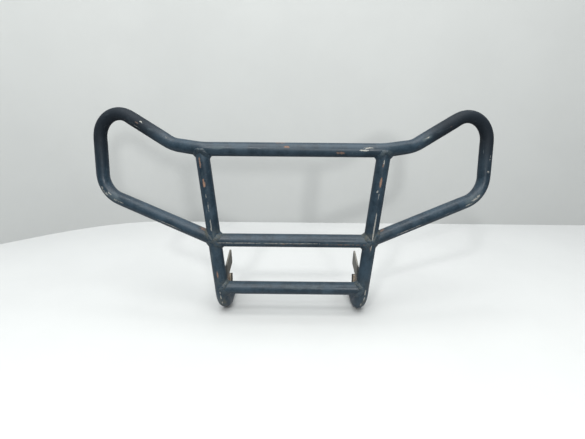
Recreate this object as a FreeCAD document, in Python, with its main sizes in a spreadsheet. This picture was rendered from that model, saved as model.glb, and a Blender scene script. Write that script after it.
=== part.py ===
import FreeCAD, Part
import math
import os

import Sketcher
from FreeCAD import Rotation, Vector

# Front grille guard: one welded frame of round steel tube with two mounting plates.
#
# Millimetres. +X is the viewer's right when facing the front of the guard, -Y is the
# front, +Y points back towards the vehicle and +Z is up. The origin is on the axis of
# the two bolt hooks, half way between the plates.

doc = FreeCAD.newDocument("front_grille_guard")

# ---------------------------------------------------------------- driving dimensions

SIZES = [
    # tube stock, used for every tube
    ("tube_diameter", 25.4, "outside diameter of the tube"),
    ("tube_wall", 2.1, "wall of the tube"),
    # uprights: two tubes that lean outwards to the top and turn back at the foot
    ("rail_height", 288.2, "axis of the top rail above the bolt hooks"),
    ("upright_setout", 59.0, "axis of the uprights in front of the bolt hooks"),
    ("upright_half_spacing", 164.9, "centre line to upright axis, at the top rail"),
    ("upright_lean", 5.4, "lean of the uprights, degrees"),
    ("foot_drop", 316.5, "axis of the feet below the top rail"),
    ("foot_bend", 38.1, "bend radius of the feet, on the tube axis"),
    ("foot_reach", 96.0, "end of the feet behind the upright axis"),
    # crossbars
    ("middle_bar_drop", 173.2, "axis of the middle crossbar below the top rail"),
    ("lower_bar_drop", 272.2, "axis of the lower crossbar below the top rail"),
    # hoop: virtual corners of one side, from the centre line, upright axis and top rail
    ("sweep_bend", 60.0, "radius where the top rail turns back"),
    ("shoulder_half_width", 221.1, "shoulder corner, sideways"),
    ("shoulder_back", 18.5, "shoulder corner, behind the uprights"),
    ("shoulder_rise", 5.6, "shoulder corner, above the top rail"),
    ("shoulder_bend", 65.0, "radius where the rail turns up"),
    ("upper_half_width", 373.4, "upper outer corner, sideways"),
    ("upper_back", 71.3, "upper outer corner, behind the uprights"),
    ("upper_rise", 87.7, "upper outer corner, above the top rail"),
    ("upper_bend", 47.6, "radius of the upper outer corner"),
    ("lower_half_width", 376.5, "lower outer corner, sideways"),
    ("lower_back", 60.6, "lower outer corner, behind the uprights"),
    ("lower_drop", 95.0, "lower outer corner, below the top rail"),
    ("lower_bend", 50.0, "radius of the lower outer corner"),
    ("wing_end_drop", 172.0, "hoop end on the upright, below the top rail"),
    # mounting plates, from the axis of the bolt hooks
    ("plate_thickness", 3.2, "mounting plate"),
    ("plate_half_gap", 130.2, "centre line to inner face of a plate"),
    ("plate_front", -51.0, "front edge, before it is fitted to the upright"),
    ("plate_bottom", -20.0, "bottom edge, before it is fitted to the foot"),
    ("blade_front_height", 51.0, "front end of the sloping top edge"),
    ("blade_tip_back", 24.5, "tip of the blade, back end of the top edge"),
    ("blade_tip_height", 65.0, "tip of the blade, height"),
    ("blade_mid_back", 33.0, "back edge of the blade, upper corner"),
    ("blade_mid_height", 44.0, "back edge of the blade, height of that corner"),
    ("blade_back", 35.0, "back edge of the blade, lower corner"),
    ("blade_back_height", 31.0, "back edge of the blade, height of that corner"),
    ("throat_height", 25.5, "underside of the blade at the hook"),
    ("hook_radius", 9.0, "bolt hook, half its width"),
    ("finger_top", 17.0, "top of the hook finger, at the hook"),
    ("finger_back", 33.0, "back edge of the hook finger"),
    ("finger_back_height", 7.0, "top of the hook finger, at its back edge"),
    ("plate_corner", 3.0, "rounding of the free plate corners"),
    # weld beads
    ("weld_leg", 4.2, "bead round a tube joint, out from the upright or rail"),
    ("weld_throat", 2.6, "bead round a tube joint, out from the tube that ends there"),
    ("plate_weld_radius", 2.6, "bead along a mounting plate"),
    ("outer_weld_standoff", 1.2, "beads on a plate's outer face, clear of the face"),
    ("upright_weld_top", 242.0, "upper end of a plate's upright welds, below the top rail"),
    ("upright_weld_end", 256.0, "lower end of a plate's upright welds, below the top rail"),
    ("foot_weld_start", 46.0, "front end of the foot welds, behind the upright axis"),
    ("foot_weld_end", 84.0, "back end of the foot welds, behind the upright axis"),
]

sheet = doc.addObject("Spreadsheet::Sheet", "sizes")
for row, (alias, value, note) in enumerate(SIZES, start=1):
    sheet.set("A%d" % row, note)
    sheet.set("B%d" % row, str(value))
    sheet.setAlias("B%d" % row, alias)
doc.recompute()


def size(alias):
    return float(sheet.get(alias))


LEFT = -1
RIGHT = 1
SIDES = ((LEFT, "left"), (RIGHT, "right"))
TUBE_RADIUS = size("tube_diameter") / 2
FRONT_PLANE = -size("upright_setout")
RAIL_HEIGHT = size("rail_height")
LEAN_SLOPE = math.tan(math.radians(size("upright_lean")))


# ---------------------------------------------------------------- centre lines

def upright_point(side, drop, back=0.0):
    """Point on an upright's axis plane, a distance below the top rail."""
    half_width = size("upright_half_spacing") - drop * LEAN_SLOPE
    return Vector(side * half_width, FRONT_PLANE + back, RAIL_HEIGHT - drop)


def rounded_path(corners, bends):
    """Wire through the corners, with each inner corner rounded to its bend radius."""
    edges = []
    last = corners[0]
    for before, corner, after, bend in zip(corners, corners[1:], corners[2:], bends):
        arriving = (corner - before).normalize()
        leaving = (after - corner).normalize()
        turn = arriving.getAngle(leaving)
        setback = bend * math.tan(turn / 2)
        start = corner - arriving * setback
        end = corner + leaving * setback
        inward = (leaving - arriving).normalize()
        middle = corner + inward * (bend / math.cos(turn / 2) - bend)
        edges.append(Part.makeLine(last, start))
        edges.append(Part.Arc(start, middle, end).toShape())
        last = end
    edges.append(Part.makeLine(last, corners[-1]))
    return Part.Wire(edges)


def hoop_corner(side, width, back, height):
    return Vector(side * width, FRONT_PLANE + back, RAIL_HEIGHT + height)


def hoop_half(side):
    """Virtual corners of the hoop from the top rail out and round to the upright."""
    return [
        hoop_corner(side, size("upright_half_spacing"), 0, 0),
        hoop_corner(side, size("shoulder_half_width"), size("shoulder_back"), size("shoulder_rise")),
        hoop_corner(side, size("upper_half_width"), size("upper_back"), size("upper_rise")),
        hoop_corner(side, size("lower_half_width"), size("lower_back"), -size("lower_drop")),
        upright_point(side, size("wing_end_drop")),
    ]


HOOP_BENDS = [size(name) for name in ("sweep_bend", "shoulder_bend", "upper_bend", "lower_bend")]


def hoop_path():
    corners = hoop_half(LEFT)[::-1] + hoop_half(RIGHT)
    return rounded_path(corners, HOOP_BENDS[::-1] + HOOP_BENDS)


def upright_path(side):
    corners = [
        upright_point(side, 0),
        upright_point(side, size("foot_drop")),
        upright_point(side, size("foot_drop"), size("foot_reach")),
    ]
    return rounded_path(corners, [size("foot_bend")])


# ---------------------------------------------------------------- tubes

def section(name, path, radius_rule):
    """Circle square to the start of a path."""
    circle = doc.addObject("Part::Circle", name)
    circle.setExpression("Radius", radius_rule)
    first = path.OrderedEdges[0]
    start = path.OrderedVertexes[0].Point
    along = first.tangentAt(first.getParameterByLength(0))
    circle.Placement = FreeCAD.Placement(start, Rotation(Vector(0, 0, 1), along))
    return circle


def swept(name, line, circle):
    sweep = doc.addObject("Part::Sweep", name)
    sweep.Sections = [circle]
    sweep.Spine = (line, ["Edge%d" % (i + 1) for i in range(len(line.Shape.Edges))])
    sweep.Solid = True
    sweep.Frenet = False
    return sweep


def bent_tube(name, path):
    """Outside of a bent tube, and the tube with its bore, along the same centre line."""
    line = doc.addObject("Part::Feature", name + "_centre_line")
    line.Shape = path
    outside = swept(name + "_outside", line,
                    section(name + "_outside_section", path, "sizes.tube_diameter / 2"))
    bore = swept(name + "_bore", line,
                 section(name + "_bore_section", path, "sizes.tube_diameter / 2 - sizes.tube_wall"))
    return outside, cut(name + "_pipe", outside, bore)


def cut(name, base, tool):
    result = doc.addObject("Part::Cut", name)
    result.Base = base
    result.Tool = tool
    return result


def joined(name, objects):
    result = doc.addObject("Part::MultiFuse", name)
    result.Shapes = objects
    return result


def cross_cylinder(name, radius_rule, drop_alias):
    """Cylinder square across the guard, from one upright's axis to the other's."""
    cylinder = doc.addObject("Part::Cylinder", name)
    cylinder.setExpression("Radius", radius_rule)
    cylinder.setExpression(
        "Height",
        "2 * (sizes.upright_half_spacing - sizes.%s * tan(sizes.upright_lean * 1 deg))" % drop_alias)
    cylinder.Placement = FreeCAD.Placement(
        upright_point(LEFT, size(drop_alias)), Rotation(Vector(0, 0, 1), Vector(1, 0, 0)))
    return cylinder


def crossbar(name, drop_alias, uprights):
    outside = cross_cylinder(name + "_outside", "sizes.tube_diameter / 2", drop_alias)
    bore = cross_cylinder(name + "_bore", "sizes.tube_diameter / 2 - sizes.tube_wall", drop_alias)
    return outside, cut(name, cut(name + "_pipe", outside, bore), uprights)


hoop_outside, hoop_pipe = bent_tube("hoop", hoop_path())
upright_outside = {}
parts = []
for side, word in SIDES:
    outside, pipe = bent_tube(word + "_upright", upright_path(side))
    upright_outside[side] = outside
    parts.append(cut(word + "_upright_tube", pipe, hoop_outside))
uprights_outside = joined("uprights_outside", [upright_outside[LEFT], upright_outside[RIGHT]])
parts.append(cut("hoop_tube", hoop_pipe, uprights_outside))
middle_outside, middle_bar = crossbar("middle_crossbar", "middle_bar_drop", uprights_outside)
lower_outside, lower_bar = crossbar("lower_crossbar", "lower_bar_drop", uprights_outside)
parts += [middle_bar, lower_bar]
doc.recompute()


# ---------------------------------------------------------------- mounting plates

# Corners of a plate in order, in its own plane: back from the bolt hook, then up.
# A rule that is None lies level with the hook's centre.
PLATE_CORNERS = [
    ("sizes.plate_front", "sizes.plate_bottom"),
    ("sizes.plate_front", "sizes.blade_front_height"),
    ("sizes.blade_tip_back", "sizes.blade_tip_height"),
    ("sizes.blade_mid_back", "sizes.blade_mid_height"),
    ("sizes.blade_back", "sizes.blade_back_height"),
    ("-sizes.hook_radius", "sizes.throat_height"),
    ("-sizes.hook_radius", None),
    ("sizes.hook_radius", None),
    ("sizes.hook_radius", "sizes.finger_top"),
    ("sizes.finger_back", "sizes.finger_back_height"),
    ("sizes.finger_back", "sizes.plate_bottom"),
]
HOOK_BOTTOM = 6
ROUNDED_CORNERS = (2, 3, 4, 5, 8, 9)
SAME_PLACE = 0.01


def rule_value(rule):
    """Number that a corner rule stands for."""
    if rule is None:
        return 0.0
    sign = -1 if rule.startswith("-") else 1
    return sign * size(rule.split(".")[1])


def origin_plane(body, role):
    return [item for item in body.Origin.OriginFeatures if item.Role == role][0]


def constrain(sketch, constraint, rule=None):
    index = sketch.addConstraint(constraint)
    if rule:
        sketch.setExpression("Constraints[%d]" % index, rule)


def draw_plate(sketch):
    places = [Vector(rule_value(back), rule_value(up), 0) for back, up in PLATE_CORNERS]
    count = len(places)
    for number, start in enumerate(places):
        if number == HOOK_BOTTOM:
            circle = Part.Circle(Vector(0, 0, 0), Vector(0, 0, 1), size("hook_radius"))
            sketch.addGeometry(Part.ArcOfCircle(circle, math.pi, 2 * math.pi), False)
        else:
            sketch.addGeometry(Part.LineSegment(start, places[(number + 1) % count]), False)
    for number, (back, up) in enumerate(PLATE_CORNERS):
        before = (number - 1) % count
        constrain(sketch, Sketcher.Constraint("Coincident", before, 2, number, 1))
        if number == HOOK_BOTTOM:
            constrain(sketch, Sketcher.Constraint("Coincident", number, 3, -1, 1))
        if before != HOOK_BOTTOM:
            constrain(sketch, Sketcher.Constraint("DistanceX", -1, 1, number, 1, rule_value(back)), back)
        if up:
            constrain(sketch, Sketcher.Constraint("DistanceY", -1, 1, number, 1, rule_value(up)), up)
        else:
            constrain(sketch, Sketcher.Constraint("PointOnObject", number, 1, -1))


def corner_edges(shape):
    """Names of the plate's edges that run through its free corners."""
    names = []
    for number, edge in enumerate(shape.Edges, start=1):
        ends = [vertex.Point for vertex in edge.Vertexes]
        if len(ends) < 2 or abs(ends[0].x - ends[1].x) < size("plate_thickness") / 2:
            continue
        for corner in ROUNDED_CORNERS:
            back, up = PLATE_CORNERS[corner]
            if math.hypot(ends[0].y - rule_value(back), ends[0].z - rule_value(up)) < SAME_PLACE:
                names.append("Edge%d" % number)
    return names


def mount_plate(side, word):
    body = doc.addObject("PartDesign::Body", word + "_plate_blank")
    sketch = body.newObject("Sketcher::SketchObject", word + "_plate_outline")
    sketch.AttachmentSupport = [(origin_plane(body, "YZ_Plane"), "")]
    sketch.MapMode = "FlatFace"
    draw_plate(sketch)
    pad = body.newObject("PartDesign::Pad", word + "_plate_pad")
    pad.Profile = sketch
    pad.setExpression("Length", "sizes.plate_thickness")
    doc.recompute()
    rounding = body.newObject("PartDesign::Fillet", word + "_plate_rounding")
    rounding.Base = (pad, corner_edges(pad.Shape))
    rounding.setExpression("Radius", "sizes.plate_corner")
    body.Tip = rounding
    inner_face = "sizes.plate_half_gap"
    if side == LEFT:
        inner_face = "-sizes.plate_half_gap - sizes.plate_thickness"
    body.setExpression("Placement.Base.x", inner_face)
    return cut(word + "_mount_plate", body, upright_outside[side])


plates = {side: mount_plate(side, word) for side, word in SIDES}
parts += list(plates.values())
doc.recompute()


# ---------------------------------------------------------------- weld beads

# Length that passes right through any joint.
THROUGH_JOINT = 2 * size("tube_diameter")


def weld_cylinder(name, radius_rule, base, direction, length):
    cylinder = doc.addObject("Part::Cylinder", name)
    cylinder.setExpression("Radius", radius_rule)
    cylinder.Height = length
    cylinder.Placement = FreeCAD.Placement(base, Rotation(Vector(0, 0, 1), direction))
    return cylinder


def ring_bead(name, centre, branch, run, neighbours):
    """Fillet weld all round the end of a branch tube, where it meets a run tube."""
    branch = Vector(branch).normalize()
    run = Vector(run).normalize()
    collar = weld_cylinder(name + "_collar", "sizes.tube_diameter / 2 + sizes.weld_throat",
                           centre, branch, THROUGH_JOINT)
    band = weld_cylinder(name + "_band", "sizes.tube_diameter / 2 + sizes.weld_leg",
                         centre - run * THROUGH_JOINT, run, 2 * THROUGH_JOINT)
    blank = doc.addObject("Part::Common", name + "_blank")
    blank.Base = collar
    blank.Tool = band
    parts.append(cut(name, blank, joined(name + "_neighbours", neighbours)))
    return blank


def rod_bead(name, start, end, neighbours):
    """Fillet weld along a straight stretch of plate edge, with round ends."""
    along = end - start
    rod = weld_cylinder(name + "_rod", "sizes.plate_weld_radius", start, along, along.Length)
    caps = []
    for word, place in (("start", start), ("end", end)):
        cap = doc.addObject("Part::Sphere", name + "_" + word)
        cap.setExpression("Radius", "sizes.plate_weld_radius")
        cap.Placement = FreeCAD.Placement(place, Rotation(Vector(0, 0, 1), along))
        caps.append(cap)
    blank = joined(name + "_blank", [rod] + caps)
    parts.append(cut(name, blank, joined(name + "_neighbours", neighbours)))


def touch_upright(side, face, drop):
    """Point where a plate face meets the back of the upright."""
    axis = upright_point(side, drop)
    offset = (abs(axis.x) - face) * math.cos(math.radians(size("upright_lean")))
    back = math.sqrt(TUBE_RADIUS ** 2 - offset ** 2)
    return Vector(side * face, axis.y + back, axis.z)


def touch_foot(side, face, back):
    """Point where a plate face meets the top of the foot."""
    axis = upright_point(side, size("foot_drop"), back)
    rise = math.sqrt(TUBE_RADIUS ** 2 - (abs(axis.x) - face) ** 2)
    return Vector(side * face, axis.y, axis.z + rise)


def weld_stop(side, word):
    """Block that ends the lower bar's weld at the inner face of the mounting plate."""
    block = doc.addObject("Part::Box", word + "_weld_stop")
    for edge in ("Length", "Width", "Height"):
        block.setExpression(edge, "sizes.tube_diameter")
    corner_x = size("plate_half_gap") if side == RIGHT else -size("plate_half_gap") - size("tube_diameter")
    corner_z = upright_point(side, size("lower_bar_drop")).z - TUBE_RADIUS
    block.Placement.Base = Vector(corner_x, size("plate_front"), corner_z)
    return block


def rail_run(side):
    """Direction of the top rail in the middle of its sweep bend."""
    corners = hoop_half(side)
    outward = (corners[1] - corners[0]).normalize()
    return outward + Vector(side, 0, 0)


for side, word in SIDES:
    upright = upright_outside[side]
    plate = plates[side]
    upright_run = Vector(side * LEAN_SLOPE, 0, 1)
    middle_joint = upright_point(side, size("middle_bar_drop"))
    lower_joint = upright_point(side, size("lower_bar_drop"))
    wing_joint = upright_point(side, size("wing_end_drop"))
    inward = Vector(-side, 0, 0)
    wing = hoop_half(side)[-2] - wing_joint

    middle_blank = ring_bead(word + "_middle_bar_weld", middle_joint, inward, upright_run,
                             [upright, middle_outside])
    ring_bead(word + "_lower_bar_weld", lower_joint, inward, upright_run,
              [upright, lower_outside, weld_stop(side, word)])
    ring_bead(word + "_wing_weld", wing_joint, wing, upright_run,
              [upright, hoop_outside, middle_outside, middle_blank])
    ring_bead(word + "_rail_weld", upright_point(side, 0), -upright_run, rail_run(side),
              [upright, hoop_outside])

    for face_word, offset in (
            ("inner", 0), ("outer", size("plate_thickness") + size("outer_weld_standoff"))):
        face = size("plate_half_gap") + offset
        rod_bead("%s_plate_%s_upright_weld" % (word, face_word),
                 touch_upright(side, face, size("upright_weld_top")),
                 touch_upright(side, face, size("upright_weld_end")),
                 [upright, plate, lower_outside])
        rod_bead("%s_plate_%s_foot_weld" % (word, face_word),
                 touch_foot(side, face, size("foot_weld_start")),
                 touch_foot(side, face, size("foot_weld_end")),
                 [upright, plate])


def write_parts():
    doc.recompute()
    for item in doc.Objects:
        if "Invalid" in item.State or "Error" in item.State:
            raise RuntimeError("%s: %s" % (item.Name, item.State))
    os.makedirs("parts", exist_ok=True)
    for item in parts:
        if item.Shape.isNull() or not item.Shape.isValid():
            raise RuntimeError("%s has no valid shape" % item.Label)
        item.Shape.exportStep("parts/%s.step" % item.Label)
        print(item.Label, len(item.Shape.Solids), round(item.Shape.Volume / 1000, 2), "cm3")


write_parts()
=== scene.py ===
import math

import bpy
import numpy as np
from mathutils import Matrix, Vector


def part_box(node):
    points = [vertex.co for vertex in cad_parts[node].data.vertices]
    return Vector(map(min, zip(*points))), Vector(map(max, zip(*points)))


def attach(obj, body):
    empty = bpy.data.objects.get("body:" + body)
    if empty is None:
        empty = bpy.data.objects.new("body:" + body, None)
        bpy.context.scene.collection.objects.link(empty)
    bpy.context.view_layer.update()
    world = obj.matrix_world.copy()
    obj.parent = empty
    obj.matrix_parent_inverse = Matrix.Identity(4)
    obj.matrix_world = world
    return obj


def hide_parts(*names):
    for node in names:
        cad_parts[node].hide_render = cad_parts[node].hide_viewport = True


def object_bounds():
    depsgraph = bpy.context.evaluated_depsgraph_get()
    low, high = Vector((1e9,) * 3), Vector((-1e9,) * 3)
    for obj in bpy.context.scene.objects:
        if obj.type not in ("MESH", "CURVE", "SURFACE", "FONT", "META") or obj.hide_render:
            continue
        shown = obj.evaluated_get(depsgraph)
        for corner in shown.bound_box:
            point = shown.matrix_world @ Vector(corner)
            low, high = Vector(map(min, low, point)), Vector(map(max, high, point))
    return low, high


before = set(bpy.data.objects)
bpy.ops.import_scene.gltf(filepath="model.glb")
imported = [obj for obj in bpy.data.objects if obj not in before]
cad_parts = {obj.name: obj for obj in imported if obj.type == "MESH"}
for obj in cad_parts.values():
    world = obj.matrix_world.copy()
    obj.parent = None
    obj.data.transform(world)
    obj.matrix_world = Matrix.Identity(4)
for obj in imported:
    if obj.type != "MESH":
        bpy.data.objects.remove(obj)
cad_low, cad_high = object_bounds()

# Looks of a welded front guard: painted round tube, rough weld beads, bare mounting plates.
# Metres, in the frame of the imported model: -Y is the front, +Z is up.

MM = 0.001
LEFT = -1
RIGHT = 1
SIDES = ((LEFT, "left"), (RIGHT, "right"))


# ---------------------------------------------------------------- sizes from the frame

def middle(node):
    low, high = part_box(node)
    return (low + high) / 2


def extent(node):
    low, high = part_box(node)
    return high - low


TUBE_R = extent("middle_crossbar").z / 2
TUBE_WALL = 2.1 * MM
PLANE_Y = middle("middle_crossbar").y
MIDDLE_BAR_Z = middle("middle_crossbar").z
LOWER_BAR_Z = middle("lower_crossbar").z
FOOT_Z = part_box("right_upright_tube")[0].z + TUBE_R
FOOT_END_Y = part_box("right_upright_tube")[1].y
RAIL_ABOVE_FOOT = 316.5 * MM
RAIL_Z = FOOT_Z + RAIL_ABOVE_FOOT
UPRIGHT_LEAN = math.tan(math.radians(5.4))
UPRIGHT_HALF_SPACING = 164.9 * MM
FOOT_BEND = 38.1 * MM
PLATE_INNER_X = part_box("right_mount_plate")[0].x
PLATE_OUTER_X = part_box("right_mount_plate")[1].x

# Corners of one side of the hoop before bending, in millimetres: half width, behind the
# uprights, above the rail. Then the bend radius at each.
HOOP_CORNERS = (
    (164.9, 0.0, 0.0),
    (221.1, 18.5, 5.6),
    (373.4, 71.3, 87.7),
    (376.5, 60.6, -95.0),
)
HOOP_BENDS = (60.0, 65.0, 47.6, 50.0)
WING_END_DROP = 172.0 * MM


def upright_point(side, z, back=0.0):
    return np.array([side * (UPRIGHT_HALF_SPACING + (z - RAIL_Z) * UPRIGHT_LEAN), PLANE_Y + back, z])


def hoop_half(side):
    corners = [
        np.array([side * x * MM, PLANE_Y + y * MM, RAIL_Z + z * MM]) for x, y, z in HOOP_CORNERS]
    return corners + [upright_point(side, RAIL_Z - WING_END_DROP)]


# ---------------------------------------------------------------- vectors

def unit(v):
    return v / np.linalg.norm(v, axis=-1, keepdims=True)


def smoothstep(x):
    x = np.clip(x, 0.0, 1.0)
    return x * x * (3 - 2 * x)


def blur(values, sigma, wrap):
    """Gaussian blur along the first axis, sigma in samples."""
    reach = int(math.ceil(sigma * 3))
    kernel = np.exp(-0.5 * (np.arange(-reach, reach + 1) / sigma) ** 2)
    kernel /= kernel.sum()
    mode = "wrap" if wrap else "edge"
    padded = np.pad(values, ((reach, reach), (0, 0)), mode=mode)
    return np.stack(
        [np.convolve(padded[:, i], kernel, mode="valid") for i in range(values.shape[1])], axis=1)


# ---------------------------------------------------------------- tube centre lines

RING_STEP = 3.0 * MM
SEGMENTS = 48
BEND_FLATTENING = 0.045
BEND_SPREAD = 0.02
FULL_FLATTENING_RADIUS = 55 * MM
COPE_REACH = 36 * MM
NEAR_JOINT = 70 * MM
COPE_SEARCH = 0.8 * COPE_REACH
COPE_STEP = 0.2 * MM
BEND_EASING = 2.0


def steps_over(distance, fewest):
    return max(fewest, int(distance / RING_STEP))


def rounded_path(corners, bends):
    """Points along the corners with each bend rounded, and the bend direction at each."""
    points = []
    bending = []
    last = corners[0]
    for before, corner, after, bend in zip(corners, corners[1:], corners[2:], bends):
        arriving = unit(corner - before)
        leaving = unit(after - corner)
        turn = math.acos(float(np.clip(arriving @ leaving, -1, 1)))
        setback = bend * math.tan(turn / 2)
        start = corner - arriving * setback
        toward_centre = unit(leaving - arriving * (arriving @ leaving))
        centre = start + toward_centre * bend
        count = steps_over(np.linalg.norm(start - last), fewest=2)
        for i in range(count):
            points.append(last + (start - last) * i / count)
            bending.append(np.zeros(3))
        count = steps_over(bend * turn, fewest=4)
        for i in range(count):
            angle = turn * i / count
            radial = toward_centre * math.cos(angle) - arriving * math.sin(angle)
            points.append(centre - radial * bend)
            bending.append(radial / bend)
        last = corner + leaving * setback
    count = steps_over(np.linalg.norm(corners[-1] - last), fewest=2)
    for i in range(count + 1):
        points.append(last + (corners[-1] - last) * i / count)
        bending.append(np.zeros(3))
    return np.array(points), np.array(bending)


class Tube:
    """Centre line of one tube, with a cross frame carried along it without twist."""

    def __init__(self, name, corners, bends=()):
        self.name = name
        self.points, bending = rounded_path(corners, bends)
        self.bending = blur(bending, BEND_EASING, wrap=False)
        self.tangents = unit(np.gradient(self.points, axis=0))
        steps = np.linalg.norm(np.diff(self.points, axis=0), axis=1)
        self.along = np.concatenate([[0.0], np.cumsum(steps)])
        self.length = self.along[-1]
        self.first, self.second = self.carried_frame()

    def carried_frame(self):
        forward = np.array([0.0, -1.0, 0.0])
        normals = []
        for tangent in self.tangents:
            forward = unit(forward - tangent * (forward @ tangent))
            normals.append(forward)
        first = np.array(normals)
        return first, np.cross(self.tangents, first)

    def nearest(self, places):
        """Nearest points on the stretch of centre line close to some places, and how far off."""
        middle_place = places.mean(axis=0)
        close = np.linalg.norm(self.points[:-1] - middle_place, axis=1) < NEAR_JOINT
        starts = self.points[:-1][close]
        spans = self.points[1:][close] - starts
        offset = places[:, None, :] - starts[None]
        share = np.clip((offset * spans).sum(-1) / (spans * spans).sum(-1), 0, 1)
        feet = starts[None] + spans[None] * share[..., None]
        gap = np.linalg.norm(places[:, None, :] - feet, axis=-1)
        best = gap.argmin(axis=1)
        rows = np.arange(len(places))
        return feet[rows, best], gap[rows, best]

    def at(self, distance):
        """Centre and tangent at a distance along the tube."""
        def sample(rows):
            return np.array([np.interp(distance, self.along, rows[:, i]) for i in range(3)])
        return sample(self.points), unit(sample(self.tangents))

    def distance_at_z(self, z):
        """Distance along the tube to where its centre line first passes a height."""
        heights = self.points[:, 2]
        index = int(np.argmax(heights <= z)) if heights[0] > z else 0
        return self.along[index]


hoop = Tube("hoop_tube", hoop_half(LEFT)[::-1] + hoop_half(RIGHT),
            [b * MM for b in HOOP_BENDS[::-1] + HOOP_BENDS])
uprights = {}
for side, word in SIDES:
    uprights[side] = Tube(
        word + "_upright_tube",
        [upright_point(side, RAIL_Z), upright_point(side, FOOT_Z),
         upright_point(side, FOOT_Z, FOOT_END_Y - PLANE_Y)],
        [FOOT_BEND])
middle_bar, lower_bar = (
    Tube(name, [upright_point(LEFT, z), upright_point(RIGHT, z)])
    for name, z in (("middle_crossbar", MIDDLE_BAR_Z), ("lower_crossbar", LOWER_BAR_Z)))


def cope_depths(end, away, spokes, run):
    """How far from a tube's end each lengthwise line first meets the run tube's surface."""
    trial = np.arange(0, COPE_SEARCH, COPE_STEP)
    places = end + spokes[:, None, :] + away * trial[None, :, None]
    _, gap = run.nearest(places.reshape(-1, 3))
    inside = gap.reshape(len(spokes), -1) <= TUBE_R
    last = len(trial) - 1 - inside[:, ::-1].argmax(axis=1)
    return np.where(inside.any(axis=1), trial[last], 0.0)


# ---------------------------------------------------------------- material building

MIX_COLOR_INPUTS = (6, 7)
MIX_FLOAT_INPUTS = (2, 3)


class Nodes:
    """Short calls for building one material's node tree."""

    def __init__(self, name):
        self.material = bpy.data.materials.new(name)
        self.material.use_nodes = True
        self.tree = self.material.node_tree
        self.tree.nodes.clear()
        self.output = self.tree.nodes.new("ShaderNodeOutputMaterial")

    def add(self, kind, inputs=(), **settings):
        node = self.tree.nodes.new(kind)
        for key, value in settings.items():
            setattr(node, key, value)
        for key, value in dict(inputs).items():
            self.feed(node, key, value)
        return node

    def feed(self, node, key, value):
        socket = node.inputs[key]
        if isinstance(value, bpy.types.NodeSocket):
            self.tree.links.new(value, socket)
        elif isinstance(value, tuple) and len(value) == 3 and socket.type == "RGBA":
            socket.default_value = (*value, 1.0)
        else:
            socket.default_value = value

    def math(self, operation, a, b=0.0):
        return self.add("ShaderNodeMath", {0: a, 1: b}, operation=operation).outputs[0]

    def weighted(self, *terms):
        """Sum of values, each times its own weight."""
        parts = [self.math("MULTIPLY", value, weight) for value, weight in terms]
        total = parts[0]
        for part in parts[1:]:
            total = self.math("ADD", total, part)
        return total

    def ramp(self, value, low, high, to_low=0.0, to_high=1.0):
        node = self.add("ShaderNodeMapRange", {
            "Value": value, "From Min": low, "From Max": high, "To Min": to_low, "To Max": to_high},
            interpolation_type="SMOOTHSTEP", clamp=True)
        return node.outputs["Result"]

    def mix(self, share, a, b):
        node = self.add("ShaderNodeMix", data_type="RGBA")
        for key, value in zip((0, *MIX_COLOR_INPUTS), (share, a, b)):
            self.feed(node, key, value)
        return node.outputs[2]

    def blend(self, share, a, b):
        node = self.add("ShaderNodeMix", data_type="FLOAT")
        for key, value in zip((0, *MIX_FLOAT_INPUTS), (share, a, b)):
            self.feed(node, key, value)
        return node.outputs[0]

    def noise(self, place, scale, detail=3.0, roughness=0.55, distortion=0.0):
        node = self.add("ShaderNodeTexNoise", {
            "Vector": place, "Scale": scale, "Detail": detail, "Roughness": roughness,
            "Distortion": distortion})
        return node.outputs["Fac"]

    def wander(self, place, settings, size):
        """A distance that wanders either side of zero, within a range of the given size."""
        centred = self.math("SUBTRACT", self.noise(place, *settings), 0.5)
        return self.math("MULTIPLY", centred, size)

    def stretched(self, place, factors):
        return self.add("ShaderNodeVectorMath", {0: place, 1: factors}, operation="MULTIPLY").outputs[0]

    def attribute(self, name):
        return self.add("ShaderNodeAttribute", attribute_name=name, attribute_type="GEOMETRY")

    def object_place(self):
        return self.add("ShaderNodeTexCoord").outputs["Object"]

    def finish(self, color, roughness, metallic, height, bump_distance, specular=0.5):
        bump = self.add("ShaderNodeBump", {
            "Height": height, "Distance": bump_distance, "Strength": 1.0})
        shader = self.add("ShaderNodeBsdfPrincipled", {
            "Base Color": color, "Roughness": roughness, "Metallic": metallic,
            "Normal": bump.outputs[0], "Specular IOR Level": specular})
        self.tree.links.new(shader.outputs[0], self.output.inputs["Surface"])
        return self.material


# Below, a noise is its features per metre, detail, roughness and distortion, and a step is
# the two values a smooth step runs between and, if not 0 and 1, what it gives at each.

# ---------------------------------------------------------------- paint on tubes and welds

SLATE_DARK = (0.013, 0.028, 0.042)
SLATE_LIGHT = (0.031, 0.057, 0.080)
# Rubbed paint; this colour also paints a soft highlight on the left of the top rail.
SLATE_RUBBED = (0.085, 0.115, 0.125)
# Painted shade: the slate paint darkened at the wings' upper corners.
PAINTED_SHADE_COLOR = (0.011, 0.015, 0.020)
OLIVE_FILM = (0.120, 0.115, 0.080)
# Bare metal; these colours also paint highlights on the top rail and the left upright.
BARE_TAN = (0.42, 0.38, 0.31)
BARE_GREY = (0.36, 0.39, 0.39)
RUST_ORANGE = (0.40, 0.230, 0.150)
RUST_BROWN = (0.15, 0.105, 0.085)
SCRATCH = (0.22, 0.24, 0.24)

CLOUD_NOISE = (38.0, 4.0)
SPECK_NOISE = (900.0, 2.0)
GRAIN_NOISE = (420.0, 3.0)
MOTTLE_NOISE = (260.0, 5.0, 0.65)
RUB_NOISE = (95.0, 5.0, 0.62)
FILM_NOISE = (150.0, 5.0, 0.65)
SCRATCH_NOISE = (800.0, 2.0, 0.5, 0.2)
CROSS_SCRATCH_NOISE = (620.0, 2.0, 0.5, 0.4)
CHIP_NOISE = (330.0, 5.0, 0.68, 0.6)
RUST_NOISE = (210.0, 6.0, 0.70, 0.8)
RUST_TINT_NOISE = (800.0, 5.0, 0.7)
LUMP_NOISE = (480.0, 4.0, 0.6)

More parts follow.
